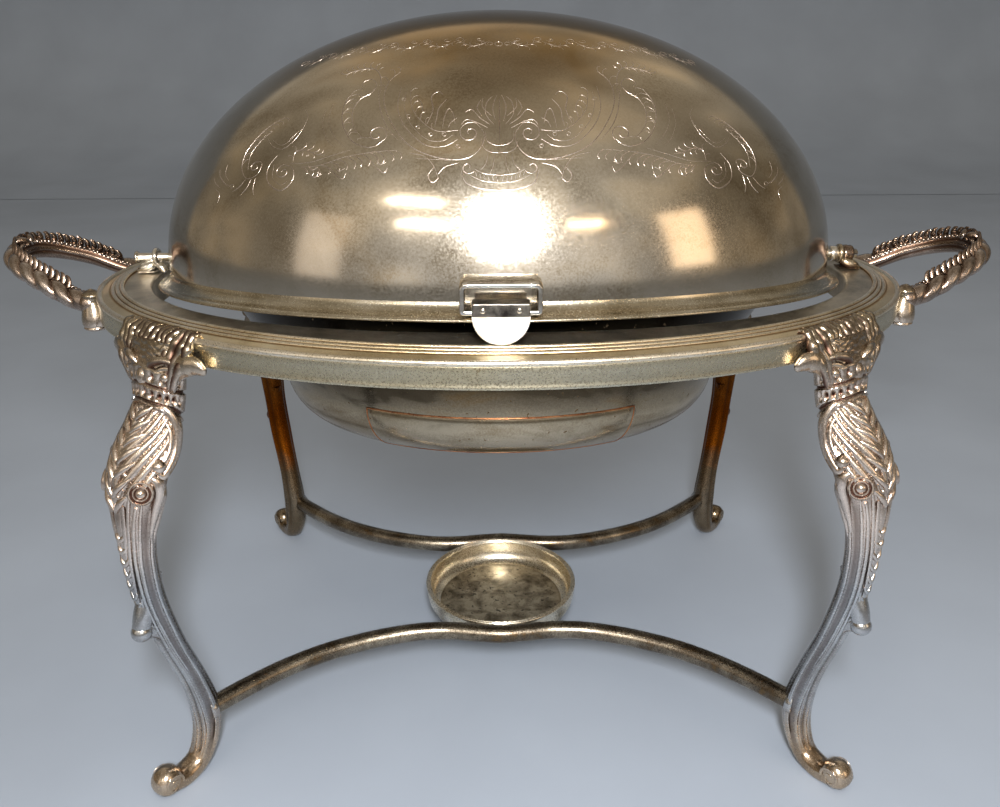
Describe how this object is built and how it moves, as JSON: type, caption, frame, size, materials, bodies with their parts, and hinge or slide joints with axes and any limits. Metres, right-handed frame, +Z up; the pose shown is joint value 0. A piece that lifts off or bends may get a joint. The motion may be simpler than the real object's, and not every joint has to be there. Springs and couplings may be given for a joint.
{
  "type": "roll top chafer",
  "caption": "Oval footed serving dish with a domed lid that rolls back on end pivots, pans beneath, loop handles and a burner cup between curved stretchers.",
  "frame": {"origin": "on the floor under the centre of the oval deck", "axes": "+X along the deck's length from handle to handle, -Y the side the lid opens from, +Z up"},
  "size_m": [0.6542, 0.3646, 0.4545],
  "materials": {
    "silver_plate_sheet": "tarnished silver plate on sheet brass, polished",
    "skirt_brassy": "worn silver plate, brass showing through",
    "cast_silver": "cast and silver plated, dark in the recesses",
    "cast_copper_worn": "cast, plate worn to a coppery tone",
    "bar_dark": "plated tube, dark tarnish",
    "cup_gold": "plated brass, pale gold, smoky inside",
    "pan_grey": "tinned sheet, mottled grey",
    "ferrule_dark": "dark tarnish",
    "ivory": "ivory-coloured, polished"
  },
  "bodies": {
    "stand": {"deck_plate": "silver_plate_sheet", "reeded_border": "silver_plate_sheet", "skirt_band": "skirt_brassy", "leg_front_left": "cast_silver", "leg_front_right": "cast_silver", "leg_rear_left": "cast_copper_worn", "leg_rear_right": "cast_copper_worn", "stretcher_front": "bar_dark", "stretcher_rear": "bar_dark", "stretcher_collars": "bar_dark", "burner_cup": "cup_gold", "burner_cup_rim": "cup_gold", "handle_left": "cast_copper_worn", "handle_right": "cast_copper_worn", "handle_terminals": "cast_silver", "bracket_left": "cast_silver", "bracket_right": "cast_silver", "bracket_rivets": "cast_silver", "pin_right": "cast_silver", "sleeve_right": "cast_silver", "collar_right": "cast_copper_worn"},
    "left_pin": {"pin_left": "cast_silver"},
    "lid": {"dome_end_left": "silver_plate_sheet", "dome_left": "silver_plate_sheet", "dome_right": "silver_plate_sheet", "dome_end_right": "silver_plate_sheet", "dome_rim": "silver_plate_sheet", "pivot_boss_left": "silver_plate_sheet", "pivot_boss_right": "silver_plate_sheet", "lid_stirrup": "silver_plate_sheet", "grip_ferrule": "ferrule_dark", "lid_grip": "ivory", "grip_rivets": "cast_silver"},
    "water_bath": {"water_pan": "pan_grey", "pan_front_plate": "pan_grey", "pan_hanger_left": "pan_grey", "pan_hanger_right": "pan_grey", "hanger_rivets": "cast_silver"},
    "food_tray": {"food_pan": "pan_grey"}
  },
  "joints": [
    {"name": "lid_roll", "type": "hinge", "parent": "stand", "child": "lid", "pos_m": [0, 0, 0.304], "axis": [-1, 0, 0], "range_deg": [0, 150]},
    {"name": "left_pin_pull", "type": "slide", "parent": "stand", "child": "left_pin", "axis": [-1, 0, 0], "range_m": [0, 0.03]},
    {"name": "water_pan_lift", "type": "slide", "parent": "stand", "child": "water_bath", "axis": [0, 0, 1], "range_m": [0, 0.03]},
    {"name": "food_pan_lift", "type": "slide", "parent": "water_bath", "child": "food_tray", "axis": [0, 0, 1], "range_m": [0, 0.03]}
  ]
}
